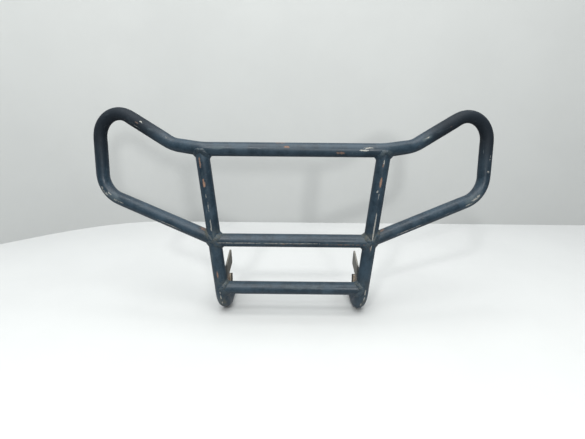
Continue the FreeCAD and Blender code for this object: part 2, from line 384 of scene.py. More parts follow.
# How much each noise is drawn out along the tube, or for cross scratches around it.
GRAIN_STRETCH = (0.25, 1.0, 1.0)
RUB_STRETCH = (0.35, 1.0, 1.0)
SCRATCH_STRETCH = (0.06, 1.0, 1.0)
CROSS_SCRATCH_STRETCH = (1.0, 0.10, 0.10)
CHIP_STRETCH = (0.55, 1.0, 1.0)

TONE_STEP = (0.38, 0.63)
SPECK_STEP = (0.60, 0.78, 0.0, 0.35)
RUB_STEP = (0.60, 0.84, 0.0, 0.6)
FILM_STEP = (0.36, 0.62)
SCRATCH_STEP = (0.715, 0.76, 0.0, 0.55)
CROSS_SCRATCH_STEP = (0.75, 0.79, 0.0, 0.4)
BARE_STEP = (0.655, 0.715)
BARE_TINT_STEP = (0.35, 0.65)
RUST_STEP = (0.61, 0.71, 0.0, 0.92)
RUST_TINT_STEP = (0.58, 0.90)

# Weights of two values in a sum: for wear, those of the noise and of the mark on the mesh.
CLOUD_AND_MOTTLE = (0.6, 0.4)
RUB_WEIGHTS = (1.0, 0.45)
BARE_WEIGHTS = (0.75, 0.62)
RUST_WEIGHTS = (0.75, 0.55)
RUST_TINT_WEIGHTS = (0.8, 0.45)

PAINT_ROUGHNESS_STEP = (0.3, 0.7, 0.33, 0.46)
RUB_ROUGHENING = 0.25
PAINTED_SHADE_ROUGHNESS = 0.62
FILM_ROUGHNESS = 0.75
BARE_ROUGHNESS = 0.50
RUST_ROUGHNESS = 0.88
BARE_METALLIC = 0.35
PAINT_SPECULAR = 0.42
PAINTED_SHADE_SPECULAR = 0.18

GRAIN_HEIGHT = 0.35
SPECK_HEIGHT = 0.20
WORN_DEPTH = 0.9
SCRATCH_DEPTH = 0.3
LUMP_HEIGHT = 1.2
PAINT_BUMP = 0.12 * MM
WELD_BUMP = 0.30 * MM


def stepped_sum(nodes, a, b, weights, step):
    """Smooth step of a weighted sum of two values."""
    return nodes.ramp(nodes.weighted((a, weights[0]), (b, weights[1])), *step)


def scratch_share(nodes, place):
    """Fine scratches along the tube, and a few round it."""
    along = nodes.noise(nodes.stretched(place, SCRATCH_STRETCH), *SCRATCH_NOISE)
    across = nodes.noise(nodes.stretched(place, CROSS_SCRATCH_STRETCH), *CROSS_SCRATCH_NOISE)
    return nodes.math(
        "MAXIMUM", nodes.ramp(along, *SCRATCH_STEP), nodes.ramp(across, *CROSS_SCRATCH_STEP))


def paint_layers(nodes, place):
    """Old slate paint with rubbed patches, olive film, scratches, chips to bare metal, and rust, plus
    painted shade at the wings' upper corners and a few painted highlights given as bare and rub marks.
    """
    charcoal = nodes.attribute("charcoal").outputs["Fac"]
    wear = nodes.attribute("wear")
    # The bare and rub shares also carry a few painted highlights.
    bare_and_glint_mark, rust_mark, rub_and_sheen_mark = nodes.add(
        "ShaderNodeSeparateColor", {0: wear.outputs["Color"]}).outputs
    cloud = nodes.noise(place, *CLOUD_NOISE)
    speck = nodes.noise(place, *SPECK_NOISE)
    mottle = nodes.noise(place, *MOTTLE_NOISE)
    grain = nodes.noise(nodes.stretched(place, GRAIN_STRETCH), *GRAIN_NOISE)

    tone = stepped_sum(nodes, cloud, mottle, CLOUD_AND_MOTTLE, TONE_STEP)
    color = nodes.mix(tone, SLATE_DARK, SLATE_LIGHT)
    # Painted shade at the wings' upper corners.
    color = nodes.mix(charcoal, color, PAINTED_SHADE_COLOR)
    color = nodes.mix(nodes.ramp(speck, *SPECK_STEP), color, SLATE_RUBBED)

    rub_noise = nodes.noise(nodes.stretched(place, RUB_STRETCH), *RUB_NOISE)
    rub = stepped_sum(nodes, rub_noise, rub_and_sheen_mark, RUB_WEIGHTS, RUB_STEP)
    color = nodes.mix(rub, color, SLATE_RUBBED)
    film_cover = nodes.ramp(nodes.noise(place, *FILM_NOISE), *FILM_STEP)
    film = nodes.math("MULTIPLY", wear.outputs["Alpha"], film_cover)
    color = nodes.mix(film, color, OLIVE_FILM)
    scratch = scratch_share(nodes, place)
    color = nodes.mix(scratch, color, SCRATCH)

    chip_noise = nodes.noise(nodes.stretched(place, CHIP_STRETCH), *CHIP_NOISE)
    bare = stepped_sum(nodes, chip_noise, bare_and_glint_mark, BARE_WEIGHTS, BARE_STEP)
    bare_color = nodes.mix(nodes.ramp(speck, *BARE_TINT_STEP), BARE_TAN, BARE_GREY)
    color = nodes.mix(bare, color, bare_color)
    rust = stepped_sum(nodes, nodes.noise(place, *RUST_NOISE), rust_mark, RUST_WEIGHTS, RUST_STEP)
    rust_tint = stepped_sum(
        nodes, nodes.noise(place, *RUST_TINT_NOISE), rust_mark, RUST_TINT_WEIGHTS, RUST_TINT_STEP)
    color = nodes.mix(rust, color, nodes.mix(rust_tint, RUST_BROWN, RUST_ORANGE))

    roughness = nodes.ramp(cloud, *PAINT_ROUGHNESS_STEP)
    roughness = nodes.weighted((roughness, 1.0), (rub, RUB_ROUGHENING))
    for share, own_roughness in (
            (charcoal, PAINTED_SHADE_ROUGHNESS), (film, FILM_ROUGHNESS),
            (bare, BARE_ROUGHNESS), (rust, RUST_ROUGHNESS)):
        roughness = nodes.blend(share, roughness, own_roughness)
    worn = nodes.math("MAXIMUM", bare, rust)
    height = nodes.weighted(
        (grain, GRAIN_HEIGHT), (speck, SPECK_HEIGHT), (worn, -WORN_DEPTH), (scratch, -SCRATCH_DEPTH))
    return {
        "color": color,
        "roughness": roughness,
        "metallic": nodes.math("MULTIPLY", bare, BARE_METALLIC),
        "height": height,
        "specular": nodes.blend(charcoal, PAINT_SPECULAR, PAINTED_SHADE_SPECULAR),
    }


def paint_material():
    nodes = Nodes("slate_paint")
    place = nodes.attribute("unrolled").outputs["Vector"]
    return nodes.finish(**paint_layers(nodes, place), bump_distance=PAINT_BUMP)


def weld_material():
    """The tubes' paint over a lumpy bead."""
    nodes = Nodes("weld_paint")
    place = nodes.object_place()
    layers = paint_layers(nodes, place)
    lumps = nodes.noise(place, *LUMP_NOISE)
    layers["height"] = nodes.weighted((layers["height"], 1.0), (lumps, LUMP_HEIGHT))
    return nodes.finish(**layers, bump_distance=WELD_BUMP)


# ---------------------------------------------------------------- steel of the mounting plates

STEEL_DARK = (0.150, 0.145, 0.120)
STEEL_LIGHT = (0.300, 0.290, 0.245)
STEEL_DULL = (0.100, 0.100, 0.085)
STEEL_BRIGHT = (0.42, 0.41, 0.36)
PLATE_RUST_DARK = (0.130, 0.085, 0.060)
PLATE_RUST_LIGHT = (0.400, 0.215, 0.125)
# Painted shade on the inner face of the hook's finger, and a painted highlight on its front edge.
FINGER_PAINTED_SHADE = (0.045, 0.040, 0.034)
FINGER_PAINTED_HIGHLIGHT = (0.46, 0.40, 0.30)
# Dark paint next to the upright, which also stands in as painted shade of the upright on the plate.
PLATE_PAINT = (0.020, 0.021, 0.017)

PLATE_FINE_NOISE = (650.0, 4.0, 0.6)
BLOTCH_NOISE = (130.0, 4.0, 0.6)
BRUSHING_NOISE = (900.0, 3.0)
BRUSHING_STRETCH = (1.0, 1.0, 0.12)
STREAK_NOISE = (560.0, 6.0, 0.7)
STREAK_STRETCH = (1.0, 1.0, 0.3)
SPOT_NOISE = (240.0, 5.0, 0.65)
PLATE_CHIP_NOISE = (300.0, 5.0, 0.65)
PAINT_LINE_NOISE = (90.0, 4.0)
PAINT_LINE_WANDER = 14 * MM
RUST_LINE_NOISE = (170.0, 6.0, 0.7)
RUST_LINE_WANDER = 60 * MM

STEEL_STEP = (0.35, 0.65)
BLOTCH_STEP = (0.35, 0.65, 0.5, 0.0)
BRUSHING_STEP = (0.52, 0.70, 0.0, 0.5)
STREAK_STEP = (0.34, 0.64)
SPOT_STEP = (0.57, 0.70, 0.0, 0.6)
PLATE_CHIP_STEP = (0.52, 0.72, 0.0, 0.6)
PLATE_ROUGHNESS_STEP = (0.3, 0.7, 0.42, 0.60)

# Steps over a distance: across the guard, up from the bolt hooks, or back from them.
LIGHTER_RIGHT_STEP = (-50 * MM, 50 * MM, 0.0, 0.5)
RUSTY_STEM_STEP = (12 * MM, 34 * MM, 0.85, 0.0)
BEHIND_HOOK_STEP = (4 * MM, 9 * MM)
BELOW_THROAT_STEP = (19 * MM, 24 * MM, 1.0, 0.0)
NEAR_TUBE_STEP = (-47 * MM, -42 * MM, 1.0, 0.0)
BLADE_ROOT_STEP = (-40 * MM, -30 * MM, 1.0, 0.0)
ABOVE_STEM_STEP = (26 * MM, 32 * MM)
# How far a face turns to the front, from fully (-1) to not at all (0); faces turned to the front get the
# painted highlight on the finger's edge.
LIT_FRONT_STEP = (-0.7, -0.5, 1.0, 0.0)

FINGER_SHADE_SHARE = 0.9
PLATE_RUST_ROUGHNESS = 0.86
STEEL_METALLIC = 0.45
PLATE_FINE_HEIGHT = 0.6
SPOT_HEIGHT = 0.7
PLATE_BUMP = 0.18 * MM


def plate_steel_color(nodes, place, fine, across):
    """Bare steel with dull blotches and brushing, lighter on the right plate."""
    brushed = nodes.noise(nodes.stretched(place, BRUSHING_STRETCH), *BRUSHING_NOISE)
    blotch = nodes.noise(place, *BLOTCH_NOISE)
    steel = nodes.mix(nodes.ramp(fine, *STEEL_STEP), STEEL_DARK, STEEL_LIGHT)
    steel = nodes.mix(nodes.ramp(blotch, *BLOTCH_STEP), steel, STEEL_DULL)
    steel = nodes.mix(nodes.ramp(brushed, *BRUSHING_STEP), steel, STEEL_BRIGHT)
    return nodes.mix(nodes.ramp(across, *LIGHTER_RIGHT_STEP), steel, STEEL_BRIGHT)


def plate_material():
    """Steel plate: bare and grey-tan behind, rusty on the stem, dark next to the tube with paint and
    painted shade, with painted shade on the hook's finger and a painted highlight on its front edge.
    """
    nodes = Nodes("plate_steel")
    place = nodes.object_place()
    across, back, up = nodes.add("ShaderNodeSeparateXYZ", {0: place}).outputs
    normal = nodes.add("ShaderNodeNewGeometry").outputs["Normal"]
    turned_back = nodes.add("ShaderNodeSeparateXYZ", {0: normal}).outputs["Y"]
    wander = nodes.wander(place, PAINT_LINE_NOISE, PAINT_LINE_WANDER)
    ragged_back = nodes.math("ADD", back, wander)
    ragged_up = nodes.math("ADD", up, wander)
    fine = nodes.noise(place, *PLATE_FINE_NOISE)
    color = plate_steel_color(nodes, place, fine, across)

    streaks = nodes.noise(nodes.stretched(place, STREAK_STRETCH), *STREAK_NOISE)
    rust_color = nodes.mix(nodes.ramp(streaks, *STREAK_STEP), PLATE_RUST_DARK, PLATE_RUST_LIGHT)
    rust_line = nodes.math("ADD", ragged_up, nodes.wander(place, RUST_LINE_NOISE, RUST_LINE_WANDER))
    spots = nodes.ramp(nodes.noise(place, *SPOT_NOISE), *SPOT_STEP)
    rust = nodes.math("MAXIMUM", nodes.ramp(rust_line, *RUSTY_STEM_STEP), spots)
    color = nodes.mix(rust, color, rust_color)

    # Painted shade on the finger's inner face, and a painted highlight where its edge turns to the
    # front.
    finger = nodes.math(
        "MULTIPLY", nodes.ramp(back, *BEHIND_HOOK_STEP), nodes.ramp(up, *BELOW_THROAT_STEP))
    color = nodes.mix(nodes.math("MULTIPLY", finger, FINGER_SHADE_SHARE), color, FINGER_PAINTED_SHADE)
    lit_front_edge = nodes.ramp(turned_back, *LIT_FRONT_STEP)
    color = nodes.mix(nodes.math("MULTIPLY", finger, lit_front_edge), color, FINGER_PAINTED_HIGHLIGHT)

    # Dark next to the upright: paint, and partly painted shade of the upright.
    near_tube = nodes.ramp(ragged_back, *NEAR_TUBE_STEP)
    blade_root = nodes.math(
        "MULTIPLY", nodes.ramp(ragged_back, *BLADE_ROOT_STEP), nodes.ramp(ragged_up, *ABOVE_STEM_STEP))
    chips = nodes.ramp(nodes.noise(place, *PLATE_CHIP_NOISE), *PLATE_CHIP_STEP)
    painted = nodes.math(
        "MULTIPLY", nodes.math("MAXIMUM", near_tube, blade_root), nodes.math("SUBTRACT", 1.0, chips))
    color = nodes.mix(painted, color, PLATE_PAINT)

    roughness = nodes.blend(rust, nodes.ramp(fine, *PLATE_ROUGHNESS_STEP), PLATE_RUST_ROUGHNESS)
    clean = nodes.math("SUBTRACT", 1.0, nodes.math("MAXIMUM", rust, painted))
    metallic = nodes.math("MULTIPLY", clean, STEEL_METALLIC)
    height = nodes.weighted((fine, PLATE_FINE_HEIGHT), (spots, SPOT_HEIGHT))
    return nodes.finish(color, roughness, metallic, height, PLATE_BUMP)


paint = paint_material()
weld_paint = weld_material()
plate_steel = plate_material()


# ---------------------------------------------------------------- wear on the tubes

# Marks on the paint of each tube: distance along it, side it faces, length, width, strength and
# kind, which is bare metal, orange rust, dull rubbed paint or olive film. In millimetres.
# A few bare and rub marks are painted highlights instead, noted where they stand.
FRONT = (0, -1, 0)
FRONT_LEFT = (-0.3, -0.95, 0)
FRONT_RIGHT = (0.35, -0.93, 0)
FRONT_UP = (0, -0.8, 0.6)
FRONT_DOWN = (0, -0.9, -0.45)
UP = (0, -0.2, 1)
MARKS = {
    "left_upright_tube": (
        (22, FRONT_LEFT, 12, 2.4, 0.80, "rust"),
        (56, (-0.17, -0.98, 0), 5, 2.2, 0.85, "rust"),
        (63, (-0.15, -0.98, 0), 6, 3.0, 1.0, "rust"),
        (61, (-0.15, -0.98, 0), 4, 1.4, 0.64, "bare"),
        (86, (-0.1, -1, 0), 8, 1.3, 0.70, "bare"),
        (106, (-0.04, -1, 0), 13, 1.2, 0.66, "bare"),
        # Painted highlight: a pale bare streak down the left upright.
        (141, (-0.05, -1, 0), 13, 1.5, 0.86, "bare"),
        (205, (-0.7, -0.7, 0), 16, 4.0, 0.55, "rub"),
        (242, (-0.13, -0.99, 0), 9, 2.2, 0.85, "rust"),
        (276, (-0.15, -1, -0.05), 8, 1.5, 0.92, "bare"),
        (288, (-0.13, -0.95, -0.28), 7, 1.5, 0.88, "bare"),
        (299, (-0.10, -0.85, -0.52), 7, 1.5, 0.90, "bare"),
        (302, (0.1, -0.9, -0.4), 14, 8.0, 0.75, "film"),
        (300, (-0.4, -0.8, -0.3), 16, 4.0, 0.6, "rub"),
        (318, (0.2, -0.9, -0.3), 9, 4.0, 0.55, "rust"),
    ),
    "right_upright_tube": (
        (20, FRONT, 7, 1.8, 0.78, "bare"),
        (26, (-0.05, -1, 0), 8, 2.6, 0.60, "rust"),
        (57, FRONT, 11, 2.4, 0.95, "rust"),
        (74, (-0.25, -0.98, 0), 2.5, 3.0, 0.72, "bare"),
        (83, (0.02, -1, 0), 8, 1.0, 0.70, "bare"),
        (142, (0.14, -0.99, 0), 30, 1.6, 1.0, "bare"),
        (178, (0.14, -0.99, 0), 14, 1.4, 0.66, "bare"),
        (180, (0.05, -0.99, 0), 20, 2.4, 0.55, "rust"),
        (277, (0.40, -0.95, -0.05), 8, 1.5, 0.90, "bare"),
        (289, (0.40, -0.90, -0.28), 8, 1.5, 0.92, "bare"),
        (301, (0.05, -0.85, -0.52), 8, 1.5, 0.90, "bare"),
        (300, (0.5, -0.85, -0.2), 15, 5.0, 0.85, "film"),
        (303, (0.6, -0.7, -0.3), 16, 3.5, 0.62, "rub"),
    ),
    "middle_crossbar": (
        (45, (0, -0.99, -0.12), 60, 0.9, 0.76, "bare"),
        (150, (0, -0.99, -0.14), 70, 0.9, 0.68, "bare"),
        (150, (0, -0.96, -0.26), 55, 2.6, 0.50, "rust"),
        (250, (0, -0.96, -0.26), 60, 2.8, 0.56, "rust"),
        (250, (0, -0.98, -0.20), 55, 0.9, 0.62, "bare"),
        (150, (0, -0.98, -0.16), 130, 2.4, 0.75, "rub"),
    ),
    "lower_crossbar": (
        (81, (0, -0.95, -0.31), 3, 2.0, 0.60, "rust"),
        (12, (0, -0.6, 0.8), 8, 7.0, 0.5, "rub"),
        (160, (0, -0.9, 0.4), 60, 5.0, 0.5, "rub"),
    ),
}
# The hoop's marks are given from the middle of the top rail, out along each side.
HOOP_MARKS = (
    (LEFT, 11, (0, -0.88, 0.48), 6, 3.0, 0.80, "rust"),
    (LEFT, 22, UP, 14, 4.0, 0.6, "rust"),
    # Painted highlight: a lighter rubbed patch on the left of the top rail.
    (LEFT, 134, (0, -0.93, 0.36), 12, 3.0, 0.9, "rub"),
    (RIGHT, 84, (0, -0.96, -0.27), 11, 4.0, 0.66, "rust"),
    # Painted highlights: two pale bare streaks on the right of the top rail.
    (RIGHT, 127, (0, -0.99, 0.12), 10, 1.6, 0.95, "bare"),
    (RIGHT, 134, (0, -0.90, 0.43), 11, 1.2, 0.95, "bare"),
    (LEFT, 238, FRONT_UP, 8, 1.4, 0.64, "bare"),
    (LEFT, 293, FRONT_UP, 7, 1.8, 0.62, "bare"),
    (LEFT, 298, FRONT_DOWN, 10, 1.6, 0.55, "bare"),
    (LEFT, 300, (0, -0.9, 0.1), 6, 2.4, 0.55, "rust"),
    (LEFT, 330, FRONT_DOWN, 26, 1.2, 0.58, "rust"),
    (LEFT, 423, (-0.3, -1, 0), 17, 1.0, 0.66, "bare"),
    (LEFT, 528, (-0.3, -0.9, -0.1), 16, 5.0, 0.55, "bare"),
    (LEFT, 538, (0, -0.95, 0.2), 6, 2.4, 0.68, "bare"),
    (LEFT, 545, (-0.2, -0.9, 0.1), 20, 8.0, 0.75, "rub"),
    (LEFT, 560, (-0.4, -0.9, 0), 18, 2.4, 0.58, "bare"),
    (LEFT, 676, (-0.2, -0.93, -0.35), 30, 0.9, 0.78, "bare"),
    (LEFT, 742, UP, 12, 6.0, 0.64, "rust"),
    (RIGHT, 303, (0.31, -0.95, 0.02), 7, 2.4, 0.58, "rust"),
    (RIGHT, 249, (0.13, -0.93, 0.35), 9, 2.0, 0.58, "bare"),
    (RIGHT, 249, (0.13, -0.93, 0.35), 12, 5.0, 0.75, "rub"),
    (RIGHT, 340, FRONT_DOWN, 24, 1.4, 0.58, "rust"),
    (RIGHT, 455, FRONT_RIGHT, 8, 2.0, 0.53, "bare"),
    (RIGHT, 482, (0.2, -1, 0), 3, 5.0, 0.56, "bare"),
    (RIGHT, 540, (0.1, -0.98, 0.1), 14, 4.0, 0.60, "bare"),
    (RIGHT, 545, (0.1, -0.98, 0.1), 24, 8.0, 0.90, "rub"),
    (RIGHT, 560, (0.2, -0.93, -0.2), 10, 2.0, 0.68, "bare"),
    (RIGHT, 690, (0.1, -0.93, -0.36), 34, 1.0, 0.75, "bare"),
    (RIGHT, 742, UP, 10, 6.0, 0.60, "rust"),
)
KINDS = ("bare", "rust", "rub", "film")
# Wear round a joint: how far it is full, how fast it fades, and the heights from the joint's
# middle between which it grows from the least share to all of it.
JOINT_CORE = 1.5 * TUBE_R
JOINT_REACH = 9 * MM
LEAST_GRIME = 0.4
GRIME_FROM = -0.2 * TUBE_R
GRIME_FULL = TUBE_R
# From the middle of the hoop out, where the painted shade at the wings' upper corners starts and where
# it ends.
PAINTED_SHADE_STARTS = (215 * MM, 300 * MM)
PAINTED_SHADE_ENDS = (415 * MM, 510 * MM)
PAINTED_SHADE_STRENGTH = 0.9


def marks_for(tube):
    if tube is hoop:
        return [(tube.length / 2 / MM + side * distance, *rest) for side, distance, *rest in HOOP_MARKS]
    return MARKS.get(tube.name, ())


def wear_field(tube, along, radials, joints, places):
    """Strength of each kind of wear at every vertex."""
    field = np.zeros((len(along), len(KINDS)))
    for distance, facing, length, width, strength, kind in marks_for(tube):
        _, tangent = tube.at(distance * MM)
        facing = np.array(facing, float)
        facing = unit(facing - tangent * (facing @ tangent))
        lengthwise = (along - distance * MM) / (length * MM)
        around = np.arccos(np.clip(radials @ facing, -1, 1)) * TUBE_R / (width * MM)
        amount = strength * np.exp(-(lengthwise ** 4) - around ** 2)
        column = KINDS.index(kind)
        field[:, column] = np.maximum(field[:, column], amount)
    for joint, strengths in joints:
        gap = np.linalg.norm(places - joint, axis=1) - JOINT_CORE
        closeness = np.exp(-np.clip(gap, 0, None) / JOINT_REACH) * grime_share(places[:, 2] - joint[2])
        field = np.maximum(field, closeness[:, None] * np.array(strengths))
    return field


def grime_share(height):
    """Share of a joint's wear that shows at a height above its middle: most on its upper side."""
    rise = smoothstep((height - GRIME_FROM) / (GRIME_FULL - GRIME_FROM))
    return LEAST_GRIME + (1 - LEAST_GRIME) * rise


def painted_shade_field(tube, along):
    """Share of painted shade that darkens the slate paint, strongest at the wings' upper corners."""
    if tube is not hoop:
        return np.zeros(len(along))
    from_middle = np.abs(along - tube.length / 2)
    rising, falling = (
        smoothstep((from_middle - low) / (high - low)) for low, high in (PAINTED_SHADE_STARTS, PAINTED_SHADE_ENDS))
    return PAINTED_SHADE_STRENGTH * rising * (1 - falling)


# ---------------------------------------------------------------- meshes

TUBE_SHARP_ANGLE = 40
BEAD_SHARP_ANGLE = 60
# Distance in the noise between one tube's stretch and the next.
NOISE_SHIFT = 5.3
TINY = 1e-9


def mesh_piece(name, vertices, faces, material, sharp_angle):
    mesh = bpy.data.meshes.new(name)
    mesh.from_pydata([tuple(v) for v in vertices], [], faces)
    mesh.validate()
    mesh.shade_smooth()
    mesh.set_sharp_from_angle(angle=math.radians(sharp_angle))
    mesh.materials.append(material)
    piece = bpy.data.objects.new(name, mesh)
    bpy.context.scene.collection.objects.link(piece)
    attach(piece, "root")
    return piece


def grid_faces(rows, columns, start=0, flip=False):
    """Quads of a grid whose rows close on themselves."""
    faces = []
    for row in range(rows - 1):
        for column in range(columns):
            following = (column + 1) % columns
            a = start + row * columns + column
            b = start + row * columns + following
            quad = (a, b, b + columns, a + columns)
            faces.append(quad[::-1] if flip else quad)
    return faces


def tube_surface(tube, radius, start_run, end_run):
    """Rings of one surface of a tube, with its ends cut to fit the tubes they meet."""
    angles = 2 * math.pi * np.arange(SEGMENTS) / SEGMENTS
    spokes = (np.cos(angles)[None, :, None] * tube.first[:, None, :]
              + np.sin(angles)[None, :, None] * tube.second[:, None, :])
    strength = np.linalg.norm(tube.bending, axis=1)
    inward = tube.bending / np.maximum(strength, TINY)[:, None]
    flattening = np.clip(strength * FULL_FLATTENING_RADIUS, 0, 1)
    lean = (spokes * inward[:, None, :]).sum(-1) ** 2
    scale = 1 + flattening[:, None] * (BEND_SPREAD * (1 - lean) - BEND_FLATTENING * lean)
    offsets = spokes * (radius * scale)[..., None]
    slide = np.zeros((len(tube.points), SEGMENTS))
    for run, end, away in ((start_run, 0, 1), (end_run, -1, -1)):
        if run is None:
            continue
        depths = cope_depths(tube.points[end], tube.tangents[end] * away, offsets[end], run)
        remaining = tube.along if end == 0 else tube.length - tube.along
        share = np.clip(1 - remaining / COPE_REACH, 0, 1)
        slide += away * share[:, None] * depths[None, :]
    places = tube.points[:, None, :] + offsets + tube.tangents[:, None, :] * slide[..., None]
    along = tube.along[:, None] + slide
    return places, spokes, along


def build_tube(tube, start_run, end_run, joints, number):
    """A hollow painted tube, whose number gives it its own stretch of noise."""
    outer, spokes, along = tube_surface(tube, TUBE_R, start_run, end_run)
    inner, _, _ = tube_surface(tube, TUBE_R - TUBE_WALL, start_run, end_run)
    rows = len(outer)
    ring = SEGMENTS
    count = rows * ring
    faces = grid_faces(rows, ring)
    faces += grid_faces(rows, ring, start=count, flip=True)
    for column in range(ring):
        following = (column + 1) % ring
        faces.append((column, column + count, following + count, following))
        last = (rows - 1) * ring
        faces.append((last + following, last + following + count, last + column + count, last + column))
    vertices = np.concatenate([outer.reshape(-1, 3), inner.reshape(-1, 3)])
    piece = mesh_piece(tube.name + "_painted", vertices, faces, paint, TUBE_SHARP_ANGLE)
    radials = np.concatenate([spokes.reshape(-1, 3)] * 2)
    distance = np.concatenate([along.reshape(-1)] * 2)
    angle = np.tile(2 * math.pi * np.arange(ring) / ring, rows * 2)
    unrolled = np.stack(
        [distance + number * NOISE_SHIFT, TUBE_R * np.cos(angle), TUBE_R * np.sin(angle)], axis=1)
    write_attribute(piece, "unrolled", "FLOAT_VECTOR", unrolled)
    wear = wear_field(tube, distance, radials, joints, vertices)
    write_attribute(piece, "wear", "FLOAT_COLOR", wear)
    write_attribute(piece, "charcoal", "FLOAT", painted_shade_field(tube, distance))
    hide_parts(tube.name)


ATTRIBUTE_FIELDS = {"FLOAT_VECTOR": "vector", "FLOAT_COLOR": "color", "FLOAT": "value"}


def write_attribute(piece, name, kind, values):
    attribute = piece.data.attributes.new(name, kind, "POINT")
    attribute.data.foreach_set(ATTRIBUTE_FIELDS[kind], np.asarray(values, np.float32).ravel())


# ---------------------------------------------------------------- weld beads

BEAD_PITCH = 3.4 * MM
BEAD_SAMPLES = 8
BEAD_PROFILE = 9
BEAD_RIPPLE = 0.10
BEAD_FULLNESS = 0.62
BEAD_CROWN = 1.5 * MM
BEAD_ROOT = 0.8 * MM
# The edge of a coped end is about a quarter longer than the tube's girth.
COPED_GIRTH = 1.25 * 2 * math.pi * TUBE_R
PLATE_BEAD_TAPER = 2.5 * MM
PLATE_BEAD_END = 0.08
# Slow unevenness of a bead: its length in samples, and its share of the bead's size.
BEAD_SWAY = 4.0
HEIGHT_SWAY = 0.06
LEG_SWAY = 0.09
# Smoothing of a joint bead's line and of its directions, in samples.
LINE_EASING = 2.0
NORMAL_EASING = 3.0


def bead_rows(line, wall_normals, run_normals, wall_away, run_away, leg, taper, seed, closed):
    """Cross-sections of a fillet bead along a line between two surfaces."""
    count = len(line)
    spacing = np.linalg.norm(np.diff(line, axis=0, append=line[:1]), axis=1)
    travelled = np.cumsum(spacing) - spacing[0]
    random = np.random.default_rng(seed)
    ripples = max(3, round(travelled[-1] / BEAD_PITCH))
    phase = travelled / travelled[-1] * ripples
    sway = blur(random.normal(size=(count, 3)), BEAD_SWAY, closed)
    sway /= sway.std(axis=0)
    ripple = 1 + BEAD_RIPPLE * (0.5 - np.mod(phase, 1.0)) + HEIGHT_SWAY * sway[:, 0]
    wall_leg = (leg * taper * ripple * (1 + LEG_SWAY * sway[:, 1]))[:, None]
    run_leg = (leg * taper * ripple * (1 + LEG_SWAY * sway[:, 2]))[:, None]
    outward = unit(wall_normals + run_normals)
    wall_toe = line + wall_away * wall_leg
    run_toe = line + run_away * run_leg
    crest = line + outward * (leg * BEAD_FULLNESS * taper * ripple)[:, None]
    root = line - outward * BEAD_ROOT
    rows = [root]
    for step in range(BEAD_PROFILE):
        t = step / (BEAD_PROFILE - 1)
        rows.append(run_toe * (1 - t) ** 2 + crest * 2 * t * (1 - t) + wall_toe * t * t)
    return np.stack(rows, axis=1)


def bead_piece(node, rows, closed, wear):
    """The mesh of a bead, closed on itself or capped at both ends."""
    count, ring, _ = rows.shape
    vertices = rows.reshape(-1, 3)
    faces = grid_faces(count, ring)
    if closed:
        last = (count - 1) * ring
        for column in range(ring):
            following = (column + 1) % ring
            faces.append((last + column, last + following, following, column))
    else:
        faces.append(tuple(range(ring))[::-1])
        faces.append(tuple((count - 1) * ring + i for i in range(ring)))
    piece = mesh_piece(node + "_bead", vertices, faces, weld_paint, BEAD_SHARP_ANGLE)
    share = grime_share(vertices[:, 2] - vertices[:, 2].mean())
    write_attribute(piece, "wear", "FLOAT_COLOR", share[:, None] * np.array(wear))
    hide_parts(node)


def press_onto(tube, places):
    """Moves points on to a tube's surface."""
    feet, gap = tube.nearest(places)
    return feet + (places - feet) / gap[:, None] * TUBE_R


def joint_bead(node, branch, at_start, run, leg, seed, wear):
    """Bead all round the end of a branch tube where it meets a run tube."""
    end = 0 if at_start else -1
    away = branch.tangents[end] * (1 if at_start else -1)
    count = int(COPED_GIRTH / BEAD_PITCH * BEAD_SAMPLES)
    angles = 2 * math.pi * np.arange(count) / count
    spokes = (np.cos(angles)[:, None] * branch.first[end] + np.sin(angles)[:, None] * branch.second[end])
    depths = cope_depths(branch.points[end], away, spokes * TUBE_R, run)
    reach = np.hypot(depths, BEAD_CROWN)
    line = blur(branch.points[end] + spokes * TUBE_R + away * reach[:, None], LINE_EASING, True)
    feet, gap = run.nearest(line)
    run_normals = (line - feet) / gap[:, None]
    heading = unit(np.roll(line, -1, axis=0) - np.roll(line, 1, axis=0))
    wall_away = unit(away - heading * (heading @ away)[:, None])
    run_away = np.cross(run_normals, heading)
    facing = ((spokes - away) * run_away).sum(1)
    run_away = unit(blur(run_away * np.sign(facing)[:, None], NORMAL_EASING, True))
    wall_away = unit(blur(wall_away, NORMAL_EASING, True))
    rows = bead_rows(line, spokes, run_normals, wall_away, run_away, leg, np.ones(count), seed, True)
    rows[:, 1] = press_onto(run, rows[:, 1])
    rows[:, -1] = press_onto(branch, rows[:, -1])
    bead_piece(node, rows, True, wear)


